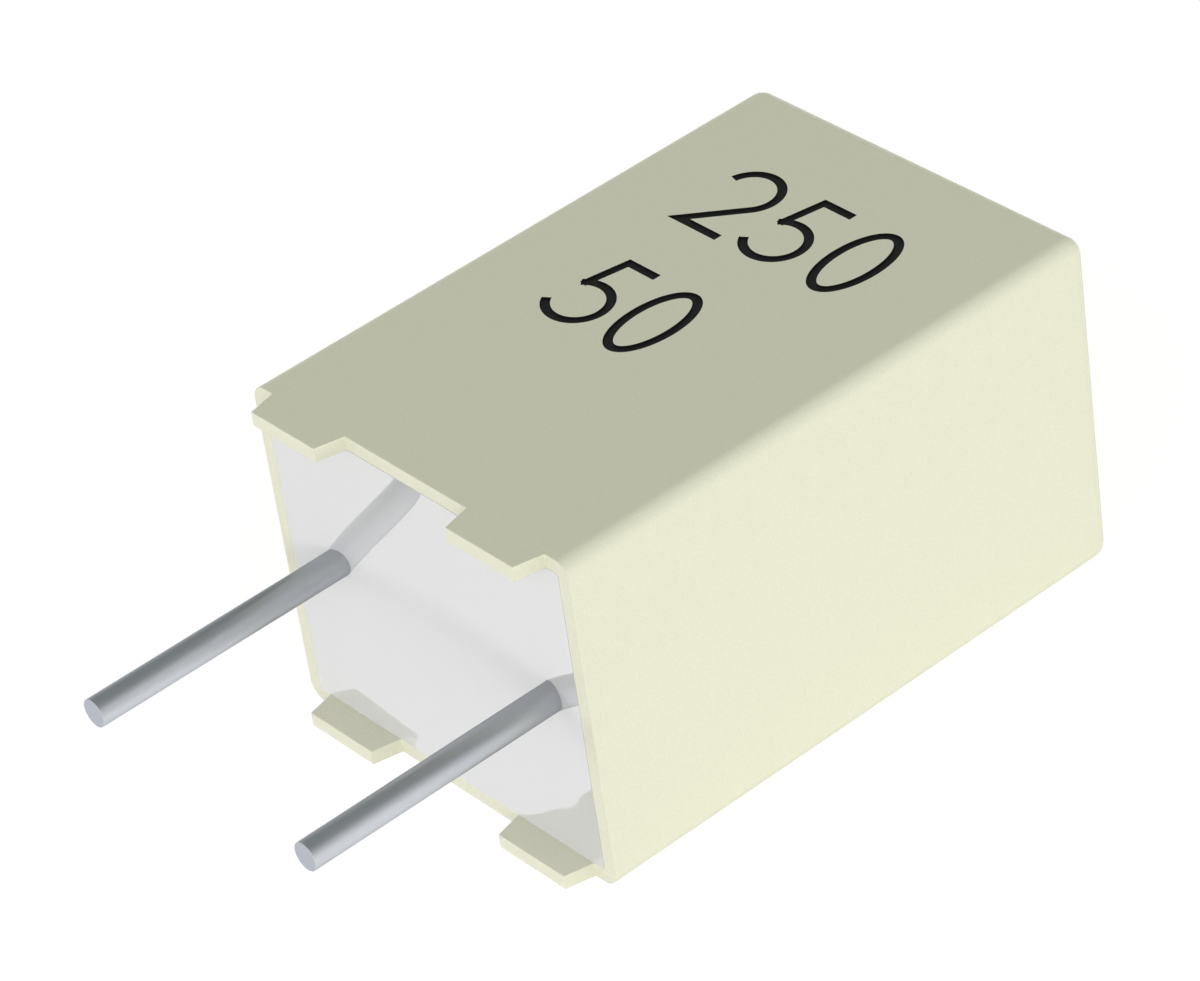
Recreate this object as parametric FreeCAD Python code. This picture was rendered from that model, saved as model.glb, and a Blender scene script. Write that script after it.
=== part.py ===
import FreeCAD, Part
import math
import os

# Box film capacitor, lying on the wide face that carries no marking.
# Millimetres. X runs along the lead pitch, the leads leave towards -Y and +Z is the marked face.
# The origin lies midway between the leads, in the plane of the feet tips that meets the board.

# Leads
lead_pitch = 5.0
lead_diameter = 0.48
lead_length = 4.0
lead_weld_length = 5.2

# Moulded case
side_margin = 1.1
case_thickness = 6.0
case_depth = 10.5
side_wall = 0.25
back_wall = 0.3
outer_edge_radius = 0.3
cavity_edge_radius = 0.08

# Feet on the rim
foot_height = 0.5
foot_width = 1.71
foot_inset = 0.5
foot_taper = 0.115

# Film winding and the metal sprayed on its ends
winding_clearance = 0.4
winding_floor_gap = 0.35
winding_cover = 1.3
contact_thickness = 0.3
contact_edge_radius = 0.08
weld_depth = 0.08

# Dished face of the resin
dish_depth = 0.455

# Worked out from the values above
case_width = lead_pitch + 2 * side_margin
rim_y = foot_height
back_y = rim_y + case_depth
cavity_width = case_width - 2 * side_wall
cavity_thickness = case_thickness - 2 * side_wall
cavity_depth = case_depth - back_wall
winding_thickness = cavity_thickness - 2 * winding_clearance
winding_front_y = rim_y + winding_cover
winding_back_y = rim_y + cavity_depth - winding_floor_gap
contact_outer_x = lead_pitch / 2 - lead_diameter / 2 + weld_depth
contact_inner_x = contact_outer_x - contact_thickness


def vec(x, y, z):
    return FreeCAD.Vector(x, y, z)


def rounded_prism(width, thickness, radius, start_y, end_y):
    """Rectangle in the XZ plane with rounded corners, drawn out from start_y to end_y."""
    x = width / 2
    z = thickness / 2
    corner = radius * (1 - math.sqrt(0.5))
    edges = [
        Part.LineSegment(vec(-x + radius, start_y, -z), vec(x - radius, start_y, -z)).toShape(),
        Part.Arc(vec(x - radius, start_y, -z),
                 vec(x - corner, start_y, -z + corner),
                 vec(x, start_y, -z + radius)).toShape(),
        Part.LineSegment(vec(x, start_y, -z + radius), vec(x, start_y, z - radius)).toShape(),
        Part.Arc(vec(x, start_y, z - radius),
                 vec(x - corner, start_y, z - corner),
                 vec(x - radius, start_y, z)).toShape(),
        Part.LineSegment(vec(x - radius, start_y, z), vec(-x + radius, start_y, z)).toShape(),
        Part.Arc(vec(-x + radius, start_y, z),
                 vec(-x + corner, start_y, z - corner),
                 vec(-x, start_y, z - radius)).toShape(),
        Part.LineSegment(vec(-x, start_y, z - radius), vec(-x, start_y, -z + radius)).toShape(),
        Part.Arc(vec(-x, start_y, -z + radius),
                 vec(-x + corner, start_y, -z + corner),
                 vec(-x + radius, start_y, -z)).toShape(),
    ]
    outline = Part.Face(Part.Wire(edges))
    return outline.extrude(vec(0, end_y - start_y, 0))


def edges_in_plane(solid, axis, value):
    """The edges whose every corner lies in the plane where the given axis has this value."""
    found = []
    for edge in solid.Edges:
        if all(abs(getattr(corner.Point, axis) - value) < 1e-6 for corner in edge.Vertexes):
            found.append(edge)
    return found


def make_foot(side_x, side_z):
    """One foot: a tapered tab that carries the wide wall on past the rim, flush on both faces."""
    outer_x = case_width / 2 - foot_inset
    inner_x = outer_x - foot_width
    face_z = case_thickness / 2 - side_wall
    corners = [
        vec(inner_x, rim_y, face_z),
        vec(inner_x + foot_taper, 0, face_z),
        vec(outer_x - foot_taper, 0, face_z),
        vec(outer_x, rim_y, face_z),
        vec(inner_x, rim_y, face_z),
    ]
    foot = Part.Face(Part.makePolygon(corners)).extrude(vec(0, 0, side_wall))
    if side_x < 0:
        foot = foot.mirror(vec(0, 0, 0), vec(1, 0, 0))
    if side_z < 0:
        foot = foot.mirror(vec(0, 0, 0), vec(0, 0, 1))
    return foot


def make_case():
    """Thin-walled box, rounded along its long edges and round its back, with four feet on the rim."""
    shell = rounded_prism(case_width, case_thickness, outer_edge_radius, rim_y, back_y)
    shell = shell.makeFillet(outer_edge_radius, edges_in_plane(shell, "y", back_y))
    cavity = rounded_prism(cavity_width, cavity_thickness, cavity_edge_radius,
                           rim_y - foot_height, rim_y + cavity_depth)
    shell = shell.cut(cavity)
    feet = [make_foot(side_x, side_z) for side_x in (-1, 1) for side_z in (-1, 1)]
    return shell.fuse(feet).removeSplitter()


def make_racetrack(start_x, end_x):
    """Flattened round section of the winding in the YZ plane, drawn out along X."""
    radius = winding_thickness / 2
    front = winding_front_y + radius
    back = winding_back_y - radius
    edges = [
        Part.LineSegment(vec(start_x, front, radius), vec(start_x, back, radius)).toShape(),
        Part.Arc(vec(start_x, back, radius),
                 vec(start_x, winding_back_y, 0),
                 vec(start_x, back, -radius)).toShape(),
        Part.LineSegment(vec(start_x, back, -radius), vec(start_x, front, -radius)).toShape(),
        Part.Arc(vec(start_x, front, -radius),
                 vec(start_x, winding_front_y, 0),
                 vec(start_x, front, radius)).toShape(),
    ]
    section = Part.Face(Part.Wire(edges))
    return section.extrude(vec(end_x - start_x, 0, 0))


def make_lead(side):
    """Straight round wire, sheared square at both ends and welded along the end contact.

    Its face is divided in the plane of the feet tips: the free length before it enters the
    board, and the held length behind it runs on into the resin.
    """
    middle = vec(side * lead_pitch / 2, 0, 0)
    held_length = winding_front_y + lead_weld_length
    free = Part.makeCylinder(lead_diameter / 2, lead_length, middle, vec(0, -1, 0))
    held = Part.makeCylinder(lead_diameter / 2, held_length, middle, vec(0, 1, 0))
    return free.fuse(held)


def make_contact(side, lead):
    """Sprayed metal over one end of the winding, soft at its outer edge, with the lead sunk in."""
    contact = make_racetrack(side * contact_inner_x, side * contact_outer_x)
    outer_edges = edges_in_plane(contact, "x", side * contact_outer_x)
    contact = contact.makeFillet(contact_edge_radius, outer_edges)
    return contact.cut(lead)


def dish_poles(half):
    """Place and height of the three poles of a parabola: one in the middle, nothing at the wall.

    The parabola is drawn on past both walls, by a wall thickness. Its end poles stand below
    one, and its middle pole above one, by the square of that reach over the half width.
    """
    reach = half + side_wall
    rise = (reach / half) ** 2
    return [(-reach, 1 - rise), (0, 1 + rise), (reach, 1 - rise)]


def make_dish():
    """The open face of the resin, level with the rim at the walls and deepest in the middle.

    It lies behind the rim by dish_depth times the parabola across times the parabola up,
    which is one Bezier patch of three by three poles.
    """
    dish = Part.BezierSurface()
    dish.increase(2, 2)
    for i, (x, across) in enumerate(dish_poles(cavity_width / 2), start=1):
        for j, (z, up) in enumerate(dish_poles(cavity_thickness / 2), start=1):
            dish.setPole(i, j, vec(x, rim_y + dish_depth * across * up, z))
    return dish.toShape()


def make_resin(inner_pieces):
    """Cast resin: fills the cavity round the inner pieces, with its open face dished."""
    in_front = make_dish().extrude(vec(0, -2 * foot_height, 0))
    fill = rounded_prism(cavity_width, cavity_thickness, cavity_edge_radius,
                         rim_y - foot_height / 2, rim_y + cavity_depth)
    fill = fill.cut(in_front)
    return fill.cut(inner_pieces)


def write_piece(name, shape):
    """One closed solid for each piece, saved under the piece's name."""
    solids = shape.Solids
    if len(solids) != 1 or not solids[0].isValid():
        raise ValueError(name + " is not one sound solid")
    solids[0].exportStep("parts/" + name + ".step")
    print(name, "volume", round(solids[0].Volume, 3))


os.makedirs("parts", exist_ok=True)

lead_left = make_lead(-1)
lead_right = make_lead(1)
end_contact_left = make_contact(-1, lead_left)
end_contact_right = make_contact(1, lead_right)
film_winding = make_racetrack(-contact_inner_x, contact_inner_x)
inner_pieces = [film_winding, end_contact_left, end_contact_right, lead_left, lead_right]

write_piece("case", make_case())
write_piece("resin_fill", make_resin(inner_pieces))
write_piece("film_winding", film_winding)
write_piece("end_contact_left", end_contact_left)
write_piece("end_contact_right", end_contact_right)
write_piece("lead_left", lead_left)
write_piece("lead_right", lead_right)
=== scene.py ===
import math

import bpy
import numpy as np
from mathutils import Matrix, Vector


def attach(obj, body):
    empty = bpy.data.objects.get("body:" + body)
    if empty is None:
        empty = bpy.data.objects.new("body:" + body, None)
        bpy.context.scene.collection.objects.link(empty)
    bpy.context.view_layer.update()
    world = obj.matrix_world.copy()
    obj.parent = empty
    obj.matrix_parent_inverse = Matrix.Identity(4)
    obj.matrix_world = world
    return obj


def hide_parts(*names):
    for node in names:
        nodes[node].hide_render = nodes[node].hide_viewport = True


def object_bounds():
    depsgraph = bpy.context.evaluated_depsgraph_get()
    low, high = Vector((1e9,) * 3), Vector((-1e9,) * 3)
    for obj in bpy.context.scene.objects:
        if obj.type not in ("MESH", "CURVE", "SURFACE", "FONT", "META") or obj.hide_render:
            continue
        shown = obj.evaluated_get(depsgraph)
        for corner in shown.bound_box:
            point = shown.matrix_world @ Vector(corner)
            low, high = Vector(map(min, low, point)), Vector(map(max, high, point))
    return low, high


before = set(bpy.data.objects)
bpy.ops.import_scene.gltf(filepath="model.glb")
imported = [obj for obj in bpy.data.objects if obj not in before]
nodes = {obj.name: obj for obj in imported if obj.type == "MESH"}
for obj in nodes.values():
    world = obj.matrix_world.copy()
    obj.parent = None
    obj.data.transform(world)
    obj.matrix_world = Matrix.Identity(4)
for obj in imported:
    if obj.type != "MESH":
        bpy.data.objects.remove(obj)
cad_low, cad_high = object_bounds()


# The case: a thin-walled box of filled plastic, moulded in one piece and open towards
# the leads. Its long edges and its back are rounded, and four small feet stand on the
# rim, flush with the wide walls, so that the box sits clear of the board.

mm = 0.001
case_half_width = 3.6
case_half_thickness = 3.0
case_back = 11.0
case_rim = 0.5
case_round = 0.3
wall = 0.25
cavity_floor = 10.7
cavity_round = 0.08
foot_outer = 3.1
foot_inner = 1.39
foot_slant = 0.115
corner_steps = 12
edge_break_width = 0.012
edge_break_angle = 50
sharp_angle = 35


def rounded_outline(half_width, half_thickness, radius, wide, tall):
    """X and Z of a rectangle with rounded corners, once round, starting at the right.

    A corner goes a quarter turn in equal steps: its centre plus the radius times the cosine
    and sine of the angle. The wide and the tall sides have points at the places given, which
    rise from one end to the other and are the same on both sides.
    """
    ends_x, ends_z = half_width - radius, half_thickness - radius
    quarter_turn = np.linspace(0, math.pi / 2, corner_steps + 1)
    xs, zs = [], []
    for quarter, (sx, sz) in enumerate([(1, 1), (-1, 1), (-1, -1), (1, -1)]):
        angle = quarter_turn + quarter * math.pi / 2
        xs.append(sx * ends_x + radius * np.cos(angle))
        zs.append(sz * ends_z + radius * np.sin(angle))
        if quarter % 2 == 0:
            xs.append(-sx * wide)
            zs.append(np.full(len(wide), sz * half_thickness))
        else:
            xs.append(np.full(len(tall), sx * half_width))
            zs.append(-sz * tall)
    return np.concatenate(xs), np.concatenate(zs)


def rim_line(x, z):
    """Y of the rim: level, but carried on to zero on the tips of the feet, with slanted flanks.

    The share of the way to the tip is the distance from the nearer end of the foot over the
    run of its slant, held between nothing and one. It counts only on the wide walls.
    """
    tolerance = 1e-6
    on_wide_wall = np.abs(z) > case_half_thickness - wall - tolerance
    share = np.minimum(np.abs(x) - foot_inner, foot_outer - np.abs(x)) / foot_slant
    return case_rim * (1 - np.clip(share, 0, 1) * on_wide_wall)


def skin_over_rings(name, rings):
    """A closed skin over rings of equal length, each joined to the next, with both ends capped.

    Each ring is an array of points in millimetres, once round. Point k of a ring, its
    neighbour k + 1 and the same two points of the next ring make a quad.
    """
    points = np.concatenate(rings)
    count = len(rings[0])
    ring, column = np.meshgrid(np.arange(len(rings) - 1), np.arange(count), indexing="ij")
    beside = (column + 1) % count
    quads = np.stack([ring * count + column, ring * count + beside,
                      (ring + 1) * count + beside, (ring + 1) * count + column], -1)
    first_cap = list(range(count))[::-1]
    last_cap = list(range(len(points) - count, len(points)))
    faces = quads.reshape(-1, 4).tolist() + [first_cap, last_cap]
    mesh = bpy.data.meshes.new(name)
    mesh.from_pydata((points * mm).tolist(), [], faces)
    mesh.update()
    return mesh


def smooth_piece(name, rings):
    """The skin over the rings as an object, smooth except where it turns sharply."""
    mesh = skin_over_rings(name, rings)
    mesh.shade_smooth()
    mesh.set_sharp_from_angle(angle=math.radians(sharp_angle))
    piece = bpy.data.objects.new(name, mesh)
    bpy.context.scene.collection.objects.link(piece)
    return piece


one_side = np.array([foot_inner, foot_inner + foot_slant, foot_outer - foot_slant, foot_outer])
foot_corners = np.concatenate([-one_side[::-1], one_side])
no_points = np.array([])

rings = []
for turn in np.linspace(0, math.pi / 2, corner_steps + 1):
    grown = case_round * math.sin(turn)
    x, z = rounded_outline(case_half_width - case_round + grown,
                           case_half_thickness - case_round + grown,
                           grown, foot_corners, no_points)
    y = np.full(len(x), case_back - case_round * (1 - math.cos(turn)))
    rings.append(np.stack([x, y, z], -1))
rings.append(np.stack([x, rim_line(x, z), z], -1))
x, z = rounded_outline(case_half_width - wall, case_half_thickness - wall,
                       cavity_round, foot_corners, no_points)
rings.append(np.stack([x, rim_line(x, z), z], -1))
rings.append(np.stack([x, np.full(len(x), cavity_floor), z], -1))
case = smooth_piece("moulded_case", rings)

edge_break = case.modifiers.new("edge_break", "BEVEL")
edge_break.width = edge_break_width * mm
edge_break.segments = 2
edge_break.limit_method = "ANGLE"
edge_break.angle_limit = math.radians(edge_break_angle)


def speckled(name, darker, paler, scale, detail, roughness):
    """A material whose colour moves between two tones with a fine noise on Object coordinates.

    The scale is in specks per metre. Returns the material, its shader and the noise.
    """
    material = bpy.data.materials.new(name)
    material.use_nodes = True
    tree = material.node_tree
    shader = tree.nodes["Principled BSDF"]
    shader.inputs["Roughness"].default_value = roughness
    place = tree.nodes.new("ShaderNodeTexCoord")
    noise = tree.nodes.new("ShaderNodeTexNoise")
    noise.inputs["Scale"].default_value = scale
    noise.inputs["Detail"].default_value = detail
    tint = tree.nodes.new("ShaderNodeMix")
    tint.data_type = "RGBA"
    tint.inputs["A"].default_value = (*darker, 1)
    tint.inputs["B"].default_value = (*paler, 1)
    tree.links.new(place.outputs["Object"], noise.inputs["Vector"])
    tree.links.new(noise.outputs["Fac"], tint.inputs["Factor"])
    tree.links.new(tint.outputs["Result"], shader.inputs["Base Color"])
    return material, shader, noise


def roughened(material, shader, noise, strength, height):
    """Makes the material's noise a relief too, of the height given in millimetres."""
    tree = material.node_tree
    bump = tree.nodes.new("ShaderNodeBump")
    bump.inputs["Strength"].default_value = strength
    bump.inputs["Distance"].default_value = height * mm
    tree.links.new(noise.outputs["Fac"], bump.inputs["Height"])
    tree.links.new(bump.outputs["Normal"], shader.inputs["Normal"])


# The moulded plastic: pale yellow grey, matt, with the fine grain of a spark-eroded mould.
plastic, shader, grain = speckled("moulded_plastic", darker=(0.744, 0.739, 0.583),
                                  paler=(0.848, 0.841, 0.673),
                                  scale=27000, detail=2, roughness=0.5)
shader.inputs["IOR"].default_value = 1.5
roughened(plastic, shader, grain, strength=0.5, height=0.008)
case.data.materials.append(plastic)


# The marking: plain numbers cut a few hundredths of a millimetre into the wide wall and
# blackened. A figure is one or two lines of even width, with square ends and pointed corners.

stroke_width = 0.16
figure_height = 1.83
cut_depth = 0.03
bowl_radius = 0.5
half_stroke = stroke_width / 2
top = figure_height - half_stroke


def arc(centre_x, centre_y, radius_x, radius_y, start, end, steps=40):
    """Points of an ellipse from one angle to another, in degrees."""
    angle = np.radians(np.linspace(start, end, steps))
    return np.stack([centre_x + radius_x * np.cos(angle), centre_y + radius_y * np.sin(angle)], -1)


# Two: a round bowl, a slant that leaves it as a tangent, and a level base. The bowl ends at
# the angle of the slant's lower end seen from the bowl's centre, plus the angle whose
# cosine is the radius over the distance between them.
bowl = np.array([bowl_radius, top - bowl_radius])
slant_end = np.array([0.13, half_stroke])
away = slant_end - bowl
leaves = math.degrees(math.atan2(away[1], away[0]) + math.acos(bowl_radius / np.hypot(*away)))
two = [np.concatenate([arc(*bowl, bowl_radius, bowl_radius, 168, leaves),
                       [slant_end, [1.03, half_stroke]]])]

# Five: the top and the back in one line, and a bowl a little wider than it is high in
# another. Nought: one narrow ellipse, closed.
flag = np.array([[0.93, top], [0.30, top], [0.145, 0.93]])
five_half_width = 0.52
five = [flag, arc(0.44, bowl_radius + half_stroke, five_half_width, bowl_radius, 132, -152)]
middle = figure_height / 2
nought_half_width = 0.41
nought = [arc(0.49, middle, nought_half_width, top - middle, 0, 360, 73)[:-1]]


def cut_along(line, start_x, start_y):
    """Points and faces of a square groove cutter: the line widened by half the stroke each way.

    At a corner the widened edge goes out along the sum of the two side directions, divided
    by one more than their product, so that both edges stay parallel and meet in a point.
    """
    closing_gap = 0.1
    closed = np.hypot(*(line[0] - line[-1])) < closing_gap
    run = np.diff(np.concatenate([line, line[:1]]) if closed else line, axis=0)
    run = run / np.hypot(run[:, 0], run[:, 1])[:, None]
    side = np.stack([-run[:, 1], run[:, 0]], -1)
    before = np.roll(side, 1, 0) if closed else np.concatenate([side[:1], side])
    after = side if closed else np.concatenate([side, side[-1:]])
    out = (before + after) / (1 + (before * after).sum(-1))[:, None] * half_stroke
    left = line + out + (start_x, start_y)
    right = line - out + (start_x, start_y)
    low = np.full(len(line), case_half_thickness - cut_depth)
    high = np.full(len(line), case_half_thickness + cut_depth)
    rails = [np.stack([*left.T, low], -1), np.stack([*right.T, low], -1),
             np.stack([*right.T, high], -1), np.stack([*left.T, high], -1)]
    points = np.stack(rails, 1).reshape(-1, 3)
    steps = len(line) if closed else len(line) - 1
    i, k = np.meshgrid(np.arange(steps), np.arange(4), indexing="ij")
    ahead, beside = (i + 1) % len(line), (k + 1) % 4
    quads = np.stack([i * 4 + k, ahead * 4 + k, ahead * 4 + beside, i * 4 + beside], -1)
    faces = quads.reshape(-1, 4).tolist()
    if not closed:
        end = 4 * (len(line) - 1)
        faces += [[0, 1, 2, 3], [end + 3, end + 2, end + 1, end]]
    return points * mm, faces


# The blackened floor and walls of the cut, which scatter next to no light.
ink, shader, _ = speckled("blackened_cut", darker=(0.004, 0.004, 0.004),
                          paler=(0.012, 0.012, 0.012),
                          scale=9000, detail=3, roughness=0.55)
shader.inputs["Specular IOR Level"].default_value = 0.3
case.data.materials.append(ink)

# Each figure with the X and Y of its lower left corner.
upper_row = [(two, -1.88, 7.43), (five, -0.53, 7.43), (nought, 0.82, 7.43)]
lower_row = [(five, -1.72, 4.44), (nought, -0.45, 4.44)]

# First the first line of every figure is cut, then the second line of the fives, because
# the two lines of a five overlap.
for part_of_figure in (0, 1):
    points, faces, count = [], [], 0
    for figure, start_x, start_y in upper_row + lower_row:
        if part_of_figure < len(figure):
            more_points, more_faces = cut_along(figure[part_of_figure], start_x, start_y)
            faces += [[corner + count for corner in face] for face in more_faces]
            points.append(more_points)
            count += len(more_points)
    mesh = bpy.data.meshes.new("cutter")
    mesh.from_pydata(np.concatenate(points).tolist(), [], faces)
    mesh.materials.append(plastic)
    mesh.materials.append(ink)
    mesh.polygons.foreach_set("material_index", np.ones(len(faces), np.int32))
    cutter = bpy.data.objects.new("cutter", mesh)
    bpy.context.scene.collection.objects.link(cutter)
    engrave = case.modifiers.new("engrave", "BOOLEAN")
    engrave.operation = "DIFFERENCE"
    engrave.solver = "EXACT"
    engrave.object = cutter
    bpy.context.view_layer.update()
    finished = case.evaluated_get(bpy.context.evaluated_depsgraph_get())
    cut_case = bpy.data.meshes.new_from_object(finished)
    case.modifiers.clear()
    case.data = cut_case
    bpy.data.objects.remove(cutter)
case.data.name = "moulded_case"

even_light = case.modifiers.new("even_light", "WEIGHTED_NORMAL")
even_light.keep_sharp = True
even_light.weight = 100
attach(case, "root")
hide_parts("case")


# The resin: epoxy poured in from the lead side and cured. It wets the walls and climbs
# them to the rim, so its glossy face is a shallow dish, and it holds both leads. The skin
# ends just in front of the winding, as the rest is shut in.

cavity_half_width = case_half_width - wall
cavity_half_thickness = case_half_thickness - wall
dish_depth = 0.455
resin_back = 1.7
dish_rings = 80
innermost_share = 0.01
places_wide = np.linspace(-3.15, 3.15, 43)
places_tall = np.linspace(-2.55, 2.55, 35)


def resin_dip(x, z):
    """How far the resin lies behind the rim: nothing at the walls, most in the middle.

    The dish depth times a parabola across and a parabola up. Each parabola is one less the
    square of the distance from the middle over that of the wall.
    """
    across = 1 - (x / cavity_half_width) ** 2
    up = 1 - (z / cavity_half_thickness) ** 2
    return dish_depth * across * up


x, z = rounded_outline(cavity_half_width, cavity_half_thickness, cavity_round,
                       places_wide, places_tall)
rings = [np.stack([x, np.full(len(x), resin_back), z], -1)]
for share in np.linspace(1, innermost_share, dish_rings):
    y = case_rim + resin_dip(x * share, z * share)
    rings.append(np.stack([x * share, y, z * share], -1))
resin = smooth_piece("cast_resin", rings)

# The cast epoxy: light grey, opaque and glossy. Its index is that of a surface which
# mirrors about a quarter of the light from any side.
cast, shader, _ = speckled("cast_epoxy", darker=(0.665, 0.665, 0.67),
                           paler=(0.695, 0.695, 0.70),
                           scale=450, detail=2, roughness=0.05)
shader.inputs["IOR"].default_value = 3.2
resin.data.materials.append(cast)
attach(resin, "root")
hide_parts("resin_fill")


# The leads: two straight tinned wires, 5 mm apart, that come out of the resin and are sheared off
# square. The cut end shows the bare core, and its darker, bluer tone is also painted shade for the
# dimmer surroundings its flat face mirrors.

lead_x = 2.5
lead_radius = 0.24
lead_tip = -4.0
lead_end = 7.0
wire_steps = 96
sheared_break = 0.007
sheared_share = 0.97

# The tin: satin, with a grain drawn out along the wire. Its colour is darkened towards the resin,
# as painted shade where the wire leaves it.
drawn_out = 4
shade_starts_at = -3.0
shade_darkest_at = 0.3
darkest_shade = 0.78
tin, shader, grain = speckled("tinned_wire", darker=(0.595, 0.615, 0.65),
                              paler=(0.67, 0.69, 0.73),
                              scale=26000, detail=2, roughness=0.38)
shader.inputs["Metallic"].default_value = 1.0
shader.inputs["Specular Tint"].default_value = (0.60, 0.61, 0.63, 1)
tree = tin.node_tree
place = grain.inputs["Vector"].links[0].from_node
drawn = tree.nodes.new("ShaderNodeMapping")
drawn.inputs["Scale"].default_value = (1, 1 / drawn_out, 1)
tree.links.new(place.outputs["Object"], drawn.inputs["Vector"])
tree.links.new(drawn.outputs["Vector"], grain.inputs["Vector"])
along = tree.nodes.new("ShaderNodeSeparateXYZ")
tree.links.new(place.outputs["Object"], along.inputs["Vector"])
# Painted shade: the tin's colour darkens smoothly towards the resin, down to the darkest share at
# the exit.
painted_shade = tree.nodes.new("ShaderNodeMapRange")
painted_shade.interpolation_type = "SMOOTHSTEP"
painted_shade.inputs["From Min"].default_value = shade_starts_at * mm
painted_shade.inputs["From Max"].default_value = shade_darkest_at * mm
painted_shade.inputs["To Min"].default_value = 1.0
painted_shade.inputs["To Max"].default_value = darkest_shade
tree.links.new(along.outputs["Y"], painted_shade.inputs["Value"])
shaded_colour = tree.nodes.new("ShaderNodeVectorMath")
shaded_colour.operation = "SCALE"
base_colour = shader.inputs["Base Color"]
tree.links.new(base_colour.links[0].from_socket, shaded_colour.inputs["Vector"])
tree.links.new(painted_shade.outputs["Result"], shaded_colour.inputs["Scale"])
tree.links.new(shaded_colour.outputs["Vector"], base_colour)
roughened(tin, shader, grain, strength=0.5, height=0.001)

# The cut end's darker, bluer metal is partly the bare core and partly painted shade.
sheared, shader, _ = speckled("sheared_end", darker=(0.49, 0.51, 0.57),
                              paler=(0.53, 0.55, 0.61),
                              scale=12000, detail=3, roughness=0.5)
shader.inputs["Metallic"].default_value = 1.0


def wire_rings(centre_x):
    """Circles along Y: the radius is even, and drops a little at each sheared end."""
    angle = np.linspace(0, 2 * math.pi, wire_steps + 1)[:-1]
    stations = [(lead_end, sheared_share), (lead_end - sheared_break, 1.0), (case_rim, 1.0),
                (lead_tip + sheared_break, 1.0), (lead_tip, sheared_share)]
    return [np.stack([centre_x + lead_radius * share * np.cos(angle),
                      np.full(wire_steps, y),
                      lead_radius * share * np.sin(angle)], -1) for y, share in stations]


for name, side in (("lead_left", -1), ("lead_right", 1)):
    wire = smooth_piece(name + "_wire", wire_rings(side * lead_x))
    wire.data.materials.append(tin)
    wire.data.materials.append(sheared)
    ends = np.zeros(len(wire.data.polygons), np.int32)
    ends[-2:] = 1
    wire.data.polygons.foreach_set("material_index", ends)
    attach(wire, "root")
    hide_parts(name)


# The winding: metallised film, wound and pressed flat. It lies wholly inside the resin,
# and its bands are the edges of the film.

film = bpy.data.materials.new("metallised_film")
film.use_nodes = True
tree = film.node_tree
shader = tree.nodes["Principled BSDF"]
shader.inputs["Roughness"].default_value = 0.25
place = tree.nodes.new("ShaderNodeTexCoord")
layers = tree.nodes.new("ShaderNodeTexWave")
layers.bands_direction = "Z"
layers.inputs["Scale"].default_value = 9000
layers.inputs["Distortion"].default_value = 1.5
tree.links.new(place.outputs["Object"], layers.inputs["Vector"])
tint = tree.nodes.new("ShaderNodeMix")
tint.data_type = "RGBA"
tint.inputs["A"].default_value = (0.56, 0.57, 0.60, 1)
tint.inputs["B"].default_value = (0.66, 0.67, 0.70, 1)
tree.links.new(layers.outputs["Fac"], tint.inputs["Factor"])
tree.links.new(tint.outputs["Result"], shader.inputs["Base Color"])

nodes["film_winding"].data.materials.clear()
nodes["film_winding"].data.materials.append(film)


# The end contacts: metal sprayed on both ends of the winding, rough and dull, which
# joins every turn of the film to the lead welded on it.

spray, shader, drops = speckled("sprayed_metal", darker=(0.45, 0.45, 0.47),
                                paler=(0.66, 0.66, 0.68),
                                scale=14000, detail=4, roughness=0.7)
shader.inputs["Metallic"].default_value = 1.0
roughened(spray, shader, drops, strength=1.0, height=0.01)
for name in ("end_contact_left", "end_contact_right"):
    nodes[name].data.materials.clear()
    nodes[name].data.materials.append(spray)


# The floor: a wide white sheet under the part. The camera, mirrors and glass see it as a
# faint shadow catcher with a glow that makes it white. All other light sees plain paper.

floor_half = 3.0
floor_z = cad_low.z
floor_mesh = bpy.data.meshes.new("floor")
corners = [(-floor_half, -floor_half, floor_z), (floor_half, -floor_half, floor_z),
           (floor_half, floor_half, floor_z), (-floor_half, floor_half, floor_z)]
floor_mesh.from_pydata(corners, [], [(0, 1, 2, 3)])
floor = bpy.data.objects.new("floor", floor_mesh)
bpy.context.scene.collection.objects.link(floor)

sheet = bpy.data.materials.new("white_sheet")
sheet.use_nodes = True
tree = sheet.node_tree
tree.nodes.clear()
output = tree.nodes.new("ShaderNodeOutputMaterial")
either = tree.nodes.new("ShaderNodeMixShader")
paper = tree.nodes.new("ShaderNodeBsdfDiffuse")
paper.inputs["Color"].default_value = (0.92, 0.92, 0.92, 1)
shown = tree.nodes.new("ShaderNodeAddShader")
shadow = tree.nodes.new("ShaderNodeBsdfDiffuse")
shadow.inputs["Color"].default_value = (0.35, 0.35, 0.35, 1)
glow = tree.nodes.new("ShaderNodeEmission")
glow.inputs["Strength"].default_value = 0.8
path = tree.nodes.new("ShaderNodeLightPath")
seen = tree.nodes.new("ShaderNodeMath")
seen.operation = "MAXIMUM"
seen_too = tree.nodes.new("ShaderNodeMath")
seen_too.operation = "MAXIMUM"
tree.links.new(path.outputs["Is Camera Ray"], seen.inputs[0])
tree.links.new(path.outputs["Is Glossy Ray"], seen.inputs[1])
tree.links.new(seen.outputs[0], seen_too.inputs[0])
tree.links.new(path.outputs["Is Transmission Ray"], seen_too.inputs[1])
tree.links.new(shadow.outputs[0], shown.inputs[0])
tree.links.new(glow.outputs[0], shown.inputs[1])
tree.links.new(seen_too.outputs[0], either.inputs[0])
tree.links.new(paper.outputs[0], either.inputs[1])
tree.links.new(shown.outputs[0], either.inputs[2])
tree.links.new(either.outputs[0], output.inputs["Surface"])
floor_mesh.materials.append(sheet)


# The light: a studio dome, pale all round the front and the right and darker up behind
# the left. Five soft boxes light the part as well: three low ones from the front round to
# the rear right, a low one on the left, and a weak yellowish one up behind.

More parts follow.
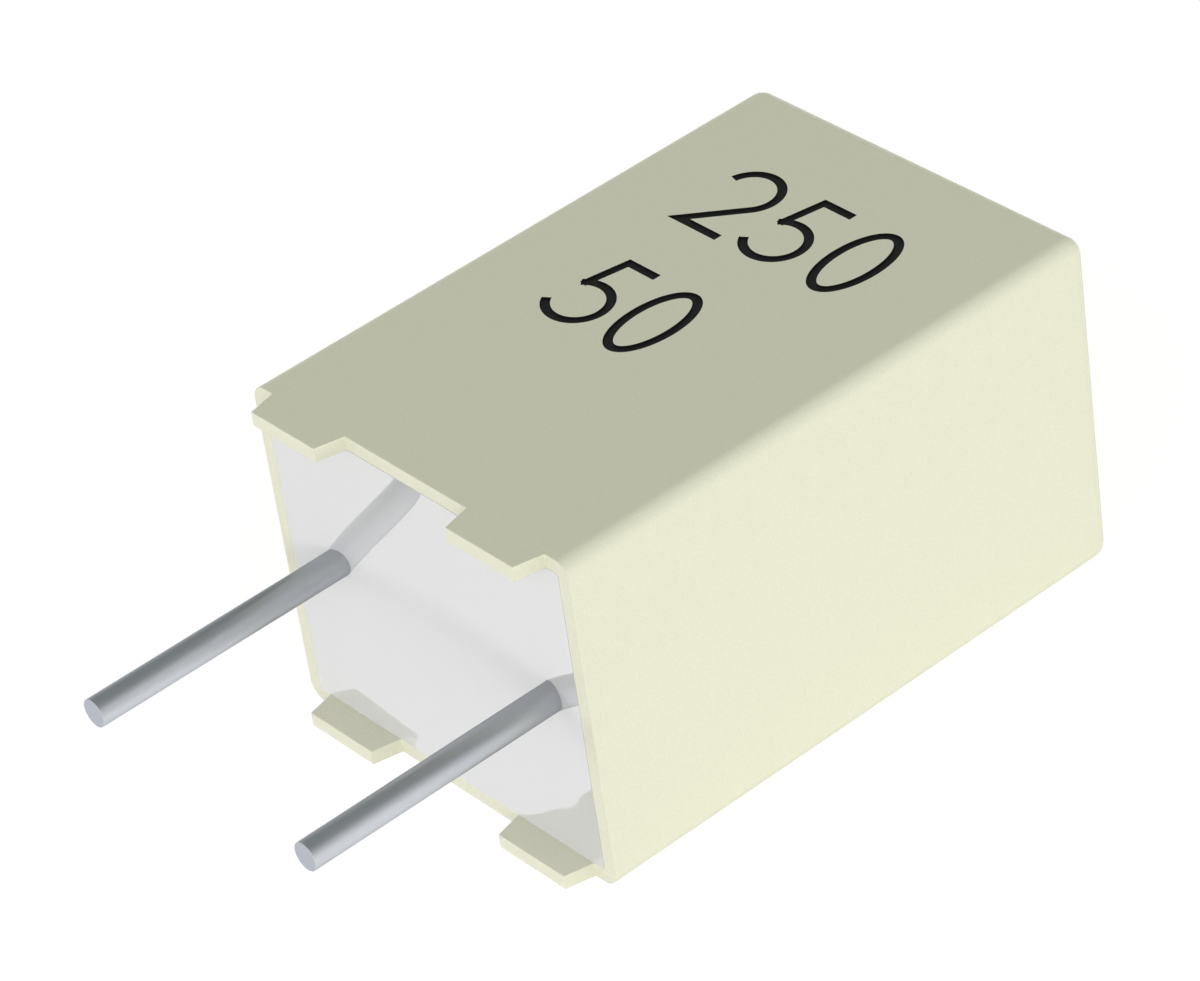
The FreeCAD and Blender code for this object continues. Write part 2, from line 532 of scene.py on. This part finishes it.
world = bpy.data.worlds.new("studio")
world.use_nodes = True
bpy.context.scene.world = world
tree = world.node_tree
background = tree.nodes["Background"]
direction = tree.nodes.new("ShaderNodeTexCoord")
darker_towards = tree.nodes.new("ShaderNodeVectorMath")
darker_towards.operation = "DOT_PRODUCT"
darker_towards.inputs[1].default_value = (-0.22, 0.35, 0.80)
dome = tree.nodes.new("ShaderNodeValToRGB")
dome.color_ramp.elements[0].color = (0.900, 0.897, 0.900, 1)
dome.color_ramp.elements[1].color = (0.260, 0.278, 0.271, 1)
dome.color_ramp.elements[0].position = 0.06
dome.color_ramp.elements[1].position = 0.74
tree.links.new(direction.outputs["Generated"], darker_towards.inputs[0])
tree.links.new(darker_towards.outputs["Value"], dome.inputs["Fac"])
tree.links.new(dome.outputs["Color"], background.inputs["Color"])


def soft_box(name, azimuth, elevation, height, level, tinge=(1, 1, 1)):
    """A lamp 1 m wide and of the height given that stands half a metre away, facing the part.

    Azimuth turns from +X towards +Y and elevation up from the level, in degrees. The power
    is level times the square of pi times the distance. The lamp doesn't show in the part.
    """
    width = 1.0
    distance = 0.5
    lamp = bpy.data.lights.new(name, "AREA")
    lamp.shape = "RECTANGLE"
    lamp.size = width
    lamp.size_y = height
    lamp.energy = level * (math.pi * distance) ** 2
    lamp.color = tinge
    turn, rise = math.radians(azimuth), math.radians(elevation)
    level_part = math.cos(rise)
    towards = Vector((math.cos(turn) * level_part, math.sin(turn) * level_part, math.sin(rise)))
    holder = bpy.data.objects.new(name, lamp)
    holder.rotation_mode = "QUATERNION"
    holder.rotation_quaternion = towards.to_track_quat("Z", "Y")
    holder.location = towards * distance
    holder.visible_glossy = False
    bpy.context.scene.collection.objects.link(holder)


soft_box("box_front_right", azimuth=-45, elevation=9, height=0.35, level=0.44)
soft_box("box_front", azimuth=-90, elevation=5, height=0.12, level=0.25)
soft_box("box_rear_right", azimuth=45, elevation=5, height=0.12, level=0.48)
soft_box("box_left", azimuth=170, elevation=4, height=0.1, level=0.50)
soft_box("box_above", azimuth=90, elevation=60, height=0.5, level=0.108, tinge=(0.95, 1.0, 0.6))


# The camera, where the photograph was taken from: a long lens, 78 mm away on the side of
# the leads and to the right, looking down, and rolled a little.

camera_place = Vector((50.811, -33.714, 46.492)) * mm
camera_azimuth = math.radians(-36.54218)
camera_elevation = math.radians(35.93208)
camera_roll = math.radians(-8.64826)
eye = bpy.data.cameras.new("camera")
eye.sensor_fit = "HORIZONTAL"
eye.sensor_width = 36
eye.lens = 155.32
eye.clip_start = 0.005
eye.clip_end = 20
camera = bpy.data.objects.new("camera", eye)
camera.matrix_world = (Matrix.Translation(camera_place)
                       @ Matrix.Rotation(camera_azimuth + math.pi / 2, 4, "Z")
                       @ Matrix.Rotation(math.pi / 2 - camera_elevation, 4, "X")
                       @ Matrix.Rotation(camera_roll, 4, "Z"))
bpy.context.scene.collection.objects.link(camera)
bpy.context.scene.camera = camera
bpy.context.scene.view_settings.view_transform = "Standard"
